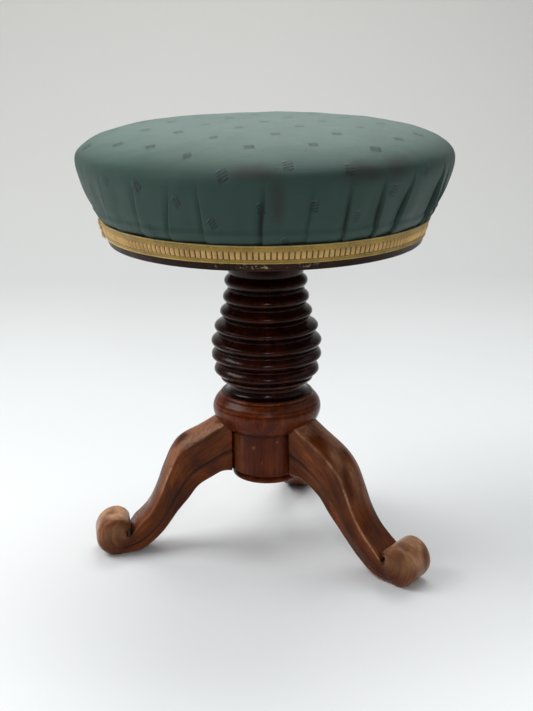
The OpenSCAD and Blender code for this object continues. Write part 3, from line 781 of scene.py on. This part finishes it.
def frayedThreads():
    points, faces = [], []
    for i in range(lap["threads"]):
        share = random.random()
        direction = lap["direction"] - lap["reach"] + random.uniform(-0.2, 0.6)
        start = braidPoint(share, braid["thick"] * lap["stand"] + lap["lift"], direction)
        outward, sideways = outAndSide(start)
        heading = (sideways * random.uniform(-0.9, 0.5) + outward * random.uniform(0.1, 0.55)
                   + Vector((0, 0, random.uniform(-0.7, 0.45)))).normalized()
        length = random.uniform(*lap["long"])
        side = heading.cross(outward).normalized() * lap["thick"]
        rise = heading.cross(side).normalized() * lap["thick"]
        base = len(points)
        for k in (0, 0.25, 0.5, 0.75, 1):
            bend = (outward * lap["curl"] + Vector((0, 0, lap["sag"]))) * k ** 2
            centre = start + heading * length * k - bend
            points += [centre + side, centre + rise, centre - side, centre - rise]
        for k in range(4):
            for q in range(4):
                a, b = base + 4 * k + q, base + 4 * k + (q + 1) % 4
                faces.append((a, b, b + 4, a + 4))
        faces += [(base + 3, base + 2, base + 1, base), (base + 16, base + 17, base + 18, base + 19)]
    mesh = bpy.data.meshes.new("braidThreads")
    mesh.from_pydata(points, [], faces)
    return addObject("braidThreads", mesh)


finishPiece(lapMesh(), "seat", [ribGold])
finishPiece(frayedThreads(), "seat", [edgeGold])
print("braid made")

# Column and base as turned pieces: radius, height, wear and painted shade of each turned line in mm; the wear
# column also paints highlight lines
turned = {
    "columns": 192, "steps": 3, "unround": 0.12,
    # radius and height of each ring's middle, and how deep the notches between them are
    "rings": [(54.9, 195.0), (57.5, 210.8), (57.5, 225.8), (54.0, 241.5), (47.9, 257.1), (44.7, 272.4),
              (43.1, 289.4)],
    "notch": 4.0,
    # the cove at the column's foot is darkened as painted shade, and the lip above it is lightened as a
    # painted highlight
    "foot": [(46.5, 171.2, 0, 0.5), (43.4, 172.0, 0, 0.8), (41.0, 174.0, 0, 0.4), (39.6, 177.2, 0, 0),
             (39.4, 180.0, 0, 0), (40.6, 182.6, 0, 0.2), (43.6, 184.2, 0, 0.5), (47.2, 184.9, 0.5, 0.2),
             (48.4, 186.2, 0.7, 0), (48.2, 187.3, 0.2, 0.4)],
    "neck": [(37.6, 297.5, 0, 0.3), (39.2, 300.0, 0, 0), (39.4, 312.0, 0, 0), (39.6, 319.5, 0, 0.2),
             (42.0, 323.4, 0.3, 0), (42.4, 326.5, 0, 0)],
    "top": [(42.4, 329.2, 0, 0), (30.05, 329.2, 0, 0), (30.05, 325.2, 0, 0), (20.05, 325.2, 0, 0),
            (20.05, 281.1, 0, 0), (18.0, 281.1, 0, 0), (18.0, 171.2, 0, 0)],
    # on the collar the fullest of the torus and the bead edges are lightened as painted highlights; the
    # carved lines, the hub's lower edge and the groove under the collar are darkened as painted shade
    "base": [(41.2, 88.6, 0, 0.6), (41.5, 89.4, 0, 0.3), (41.5, 96, 0, 0), (41.5, 103, 0, 0),
             (41.5, 110, 0, 0), (41.5, 117, 0, 0), (41.5, 124, 0, 0), (41.5, 130, 0, 0.2),
             (41.4, 132.0, 0, 0.9), (42.6, 132.8, 0, 0.7), (46.5, 134.2, 0, 0.2), (51.0, 138.0, 0, 0),
             (54.6, 144.0, 0.1, 0), (56.6, 150.0, 0.4, 0), (56.9, 154.5, 0.5, 0), (56.6, 156.6, 0.2, 0),
             (56.35, 157.5, 0, 0.5), (56.1, 158.6, 0.5, 0), (55.3, 160.6, 0.2, 0), (54.75, 161.5, 0, 0.6),
             (54.3, 162.5, 0.6, 0), (52.6, 164.6, 0.1, 0), (51.0, 166.4, 0.2, 0), (49.9, 167.5, 0.2, 0),
             (49.2, 167.9, 0, 0.9), (48.8, 169.2, 0.8, 0), (47.7, 170.5, 0.4, 0), (46.4, 171.2, 0, 0.5),
             (2.0, 171.2, 0, 0)],
    # glue seams of the column: direction, from and to height; where they end sideways, in degrees
    "seams": [(-43, 186, 246), (118, 176, 298)], "seamWide": (1.6, 0.8), "seamDeep": 0.25,
    # worn places of the base: direction, height, size, and a scraped strip below the collar
    "spots": [(-20, 119, 2.4), (-8, 104, 1.6), (14, 126, 2.0)], "spotDeep": 0.2, "perDegree": 0.72,
    "strip": (-58, -36), "stripTop": 131, "stripWear": 0.3, "boreRadius": 30.1}


def turnedMesh(name, profile, looped):
    rings, wornAndHighlit, shadeAndSeams = [], [], []
    for r, z, wearAndHighlight, shadeShare in profile:
        ring = []
        for step in directions(turned["columns"]):
            direction = (step + 180) % 360 - 180
            place = ringPoint(r, direction, z)
            rough = noise.noise(place * 0.09)
            fine = noise.noise(place * 0.45 + Vector((7, 3, 5)))
            outside = r > turned["boreRadius"]
            seam = spot = 0.0
            if looped and outside:
                seam = max(smooth(*turned["seamWide"], abs(direction - way)) if low < z < high else 0.0
                           for way, low, high in turned["seams"])
            if not looped:
                spot = max(smooth(size, size * 0.4,
                                  math.hypot((direction - way) * turned["perDegree"], z - height))
                           for way, height, size in turned["spots"])
                if turned["strip"][0] < direction < turned["strip"][1] and z < turned["stripTop"]:
                    spot = max(spot, turned["stripWear"])
            out = turned["unround"] * rough - turned["seamDeep"] * seam - turned["spotDeep"] * spot
            ring.append(ringPoint(r + (out if outside else 0), direction, z) * mm)
            # Wear mark: real worn places and the profile's painted highlight lines. Dark mark: the profile's
            # painted shade and the glue seams' real dark line
            wornAndHighlit.append(min(1.0, max(0.0, wearAndHighlight * (0.55 + 1.1 * rough + 0.5 * fine) * 0.6 + spot)))
            shadeAndSeams.append(min(1.0, max(0.0, shadeShare * (0.8 + 0.5 * fine), seam)))
        rings.append(ring)
    return loftMesh(name, rings, looped=looped, marks={"wornAndHighlit": wornAndHighlit, "shadeAndSeams": shadeAndSeams})


# One round ring between two notches: a thin fillet in the lower one, a groove in the upper one. The fillet's
# edge and the ring's fullest line are lightened as painted highlights; the ring's underside and the groove
# are darkened as painted shade
def ringLine(low, ring, high):
    (r0, z0), (r, z), (r1, z1) = low, ring, high
    lowZ, highZ = z0 + 1.2, z1 - 0.9
    fillet = [(r0 + 0.5, z0 + 0.1, 1, 0), (r0 + 0.6, z0 + 0.7, 1, 0), (r0 - 0.1, lowZ, 0, 1)]
    under = [(mix(r0, r, out), mix(lowZ, z, up), 0, shadeShare)
             for out, up, shadeShare in ((0.34, 0.34, 0.95), (0.70, 0.60, 0.8), (0.94, 0.84, 0.4))]
    over = [(mix(r1, r, out), mix(z, highZ, up), wearAndHighlight, 0)
            for out, up, wearAndHighlight in ((0.95, 0.26, 0.15), (0.80, 0.48, 0.05), (0.44, 0.76, 0.1))]
    groove = [(r1 - 0.1, z1 - 0.8, 0.2, 0), (r1 - 0.6, z1 - 0.4, 0, 1)]
    return fillet + under + [(r, z + 0.2, 0.4, 0)] + over + groove


def columnLine():
    peaks, line = turned["rings"], turned["foot"][:-1]
    notches = [turned["foot"][-1][:2]]
    for (r, z), (r1, z1) in zip(peaks, peaks[1:]):
        notches.append((min(r, r1) - turned["notch"], (z + z1) / 2))
    notches.append(turned["neck"][0][:2])
    for low, ring, high in zip(notches, peaks, notches[1:]):
        line += ringLine(low, ring, high)
    return curveThrough(line + turned["neck"], turned["steps"]) + turned["top"]


beehive = turnedMesh("beehiveColumn", columnLine(), True)
finishPiece(beehive, "pedestal", [columnWood], ["beehive_column"])
baseLine = curveThrough(turned["base"][:-1], turned["steps"]) + turned["base"][-1:]
collarBase = turnedMesh("collarBase", baseLine, False)
finishPiece(collarBase, "pedestal", [baseWood], ["turned_base"])
print("column and base turned")

# Scroll legs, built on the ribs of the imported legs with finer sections, in mm and shares of them
leg = {
    "rise": 140, "width": 39, "scroll": 21.5, "crown": 8, "edge": 4, "step": 1.6,
    "taper": 4.5, "flat": 0.4, "stepShare": 0.56, "hollow": 3.6, "hollowPlace": (-0.625, 0.25),
    "hollowAngles": (215, 390), "rollAngles": (-105, 146), "swellTo": 0.3, "tipFrom": 0.8,
    "steps": 8, "rollSteps": 36, "footFade": 6, "rubbed": 0.6,
    # distances along the leg where the knee's lift comes and goes, and where the rubbed top ends
    "liftIn": (25, 60), "liftOut": (85, 130), "rubbedOut": (60, 120),
    # top radius and height, underside radius and height, half width, crown, edge rounding, side taper
    "ribs": [(0.246, 1.050, 0.246, 0.626, 1.00, 0.5, 1.0, 0.2),
             (0.365, 0.957, 0.322, 0.613, 1.00, 0.8, 1.0, 0.7),
             (0.512, 0.846, 0.440, 0.518, 1.02, 1.0, 1.0, 1.0),
             (0.596, 0.742, 0.519, 0.397, 1.00, 1.0, 1.0, 1.0),
             (0.654, 0.605, 0.583, 0.305, 0.96, 0.9, 1.0, 1.0),
             (0.705, 0.466, 0.635, 0.228, 0.93, 0.7, 1.0, 1.0),
             (0.769, 0.346, 0.701, 0.145, 0.93, 0.4, 1.1, 0.9),
             (0.834, 0.265, 0.790, 0.059, 0.96, 0.2, 1.3, 0.7),
             (0.869, 0.225, 0.861, 0.018, 1.00, 0.1, 1.6, 0.5)],
    # half width, crown, edge rounding and side taper of the roll and of its tip
    "rollRib": (1.14, 0.0, 2.3, 0.0), "tipRib": (0.95, 0.1, 1.0, 0.0),
    # direction, reach, how much prouder the knee stands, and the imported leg
    "places": {"leftLeg": (189.5, 165, 3.5, "left_leg"), "rightLeg": (322.5, 173, 0, "right_leg"),
               "backLeg": (76, 169, 0, "back_leg")}}


def legRibs(reach):
    middle = (reach, leg["scroll"] - leg["flat"])
    hollow = [middle[k] + leg["scroll"] * leg["hollowPlace"][k] for k in (0, 1)]
    scales = (reach, leg["rise"], reach, leg["rise"], leg["width"] / 2, leg["crown"], leg["edge"], 1)

    def rollRib(t):
        a = math.radians(mix(*leg["hollowAngles"], t))
        b = math.radians(mix(*leg["rollAngles"], t))
        near = max(0.0, (t - leg["tipFrom"]) / (1 - leg["tipFrom"]))
        shares = [mix(p, q, near) for p, q in zip(leg["rollRib"], leg["tipRib"])]
        if t < leg["swellTo"]:
            swell = t / leg["swellTo"]
            shares = [mix(p, q, swell) for p, q in zip(leg["ribs"][-1][4:], leg["rollRib"])]
        top = Vector((hollow[0] + leg["hollow"] * math.cos(a), hollow[1] + leg["hollow"] * math.sin(a)))
        under = Vector((middle[0] + leg["scroll"] * math.cos(b), middle[1] + leg["scroll"] * math.sin(b)))
        # the tip is rounded off
        pull = 0.5 * (1 - math.sqrt(max(0.0, 1 - 0.97 * near * near)))
        top, under = top.lerp(under, pull), under.lerp(top, pull)
        return [*top, *under] + [share * scale for share, scale in zip(shares, scales[4:])]

    ribs = [[share * scale for share, scale in zip(rib, scales)] for rib in leg["ribs"]]
    ribs = curveThrough(ribs + [rollRib(0)], leg["steps"])[:-1]
    return ribs + [rollRib(k / leg["rollSteps"]) for k in range(leg["rollSteps"] + 1)]


# Half section of a leg: distance out, distance down, wear and painted shade; the top arris's wear line is
# also a painted highlight
def halfSection(width, crown, edge, taper, deep):
    e = min(edge, deep * 0.3)
    low = deep - e
    step, lean = leg["step"] * taper, leg["taper"] * taper
    middle = deep * leg["stepShare"]
    start = middle + leg["step"] * 0.8 + 0.3
    points = [(width * k, -crown * (1 - k * k), 0.0, 0.0) for k in (0.2, 0.4, 0.6, 0.78, 0.9)]
    # the top arris is lightened, real wear and a painted highlight line; the step down the side is darkened
    # as painted shade
    points += [(width - 0.9, -0.1 * crown - 0.15, 0.6, 0), (width - 0.25, 0.25, 1.2, 0), (width, 1.0, 0.9, 0),
               (width, 2.2, 0.1, 0), (width, middle * 0.5, 0, 0), (width, middle - 1.0, 0, 0.1),
               (width - 0.1, middle, 0.1, 0.5), (width - step * 0.7, middle + step * 0.45, 0, 0.9),
               (width - step, start, 0, 0.8)]
    for k in (0.3, 0.65, 1.0):
        points.append((mix(width - step, width - lean, k), mix(start, low, k), 0, 0))
    for turn in (22, 45, 68, 90):
        a = math.radians(turn)
        points.append((width - lean - e * (1 - math.cos(a)), low + e * math.sin(a),
                       0.35 if 30 < turn < 80 else 0, 0))
    points.append(((width - lean - e) * 0.5, deep, 0, 0))
    return points


def legMesh(name, angle, reach, knee):
    turn = math.radians(angle)
    ribs = legRibs(reach)
    last = len(ribs) - leg["rollSteps"]
    rings, wornAndHighlit, shadeAndSeams, feet, grain = [], [], [], [], []
    run, before = 0.0, None
    for number, rib in enumerate(ribs):
        top, under = Vector(rib[:2]), Vector(rib[2:4])
        down = under - top
        deep = down.length
        down.normalize()
        centre = (top + under) / 2
        run += (centre - before).length if before is not None else 0.0
        before = centre
        half = halfSection(*rib[4:], deep)
        section = [(0, -rib[5], 0, 0)] + half + [(0, deep, 0, 0)]
        section += [(-a, b, c, d) for a, b, c, d in reversed(half)]
        lift = knee * smooth(*leg["liftIn"], run) * (1 - smooth(*leg["liftOut"], run))
        top = top - down * lift
        foot = smooth(last - leg["footFade"], len(ribs) - leg["rollSteps"] * 0.6, number)
        rolled = (number - last) / leg["rollSteps"]
        # the hollow behind the roll is darkened as painted shade
        inHollow = smooth(last - leg["footFade"], last, number) * (1 - smooth(0.45, 0.95, rolled))
        ring = []
        for out, depth, wearAndHighlight, shadeShare in section:
            place = top + down * depth
            z = max(place.y, 0.0)
            ring.append(Vector((place.x * math.cos(turn) + out * math.sin(turn),
                                place.x * math.sin(turn) - out * math.cos(turn), z)) * mm)
            patchy = 0.25 + 0.85 * smooth(-0.25, 0.35, noise.noise(Vector((run * 0.07, out * 0.1, angle))))
            rubbed = smooth(0.0, 0.5, noise.noise(Vector((run * 0.035, out * 0.09, angle + 9))) + 0.28)
            rubbed *= leg["rubbed"] * (1 - smooth(*leg["rubbedOut"], run)) if depth < 0 else 0
            wornAndHighlit.append(min(1.0, (wearAndHighlight * patchy + rubbed) * (1 - foot)))
            shadeAndSeams.append(max(shadeShare * (1 - foot), 0.8 * inHollow if depth < 1.5 else 0))
            patch = noise.noise(Vector((place.x * 0.06, place.y * 0.06, out * 0.07 + angle)))
            bare = min(1.0, max(0.1, 0.75 + 1.3 * patch)) * mix(0.25, 1, smooth(0.1, 0.5, rolled))
            feet.append(foot * bare * (1 - 0.6 * smooth(0.7, 0.97, abs(out) / rib[4])))
            grain.append(Vector((run + angle, out, depth)) * mm)
        rings.append(ring)
    return loftMesh(name, rings, marks={"wornAndHighlit": wornAndHighlit, "shadeAndSeams": shadeAndSeams, "foot": feet, "grain": grain})


for name, (angle, reach, knee, cadName) in leg["places"].items():
    made = legMesh(name, angle, reach, knee)
    finishPiece(made, "pedestal", [legWood], [cadName])
print("legs made")
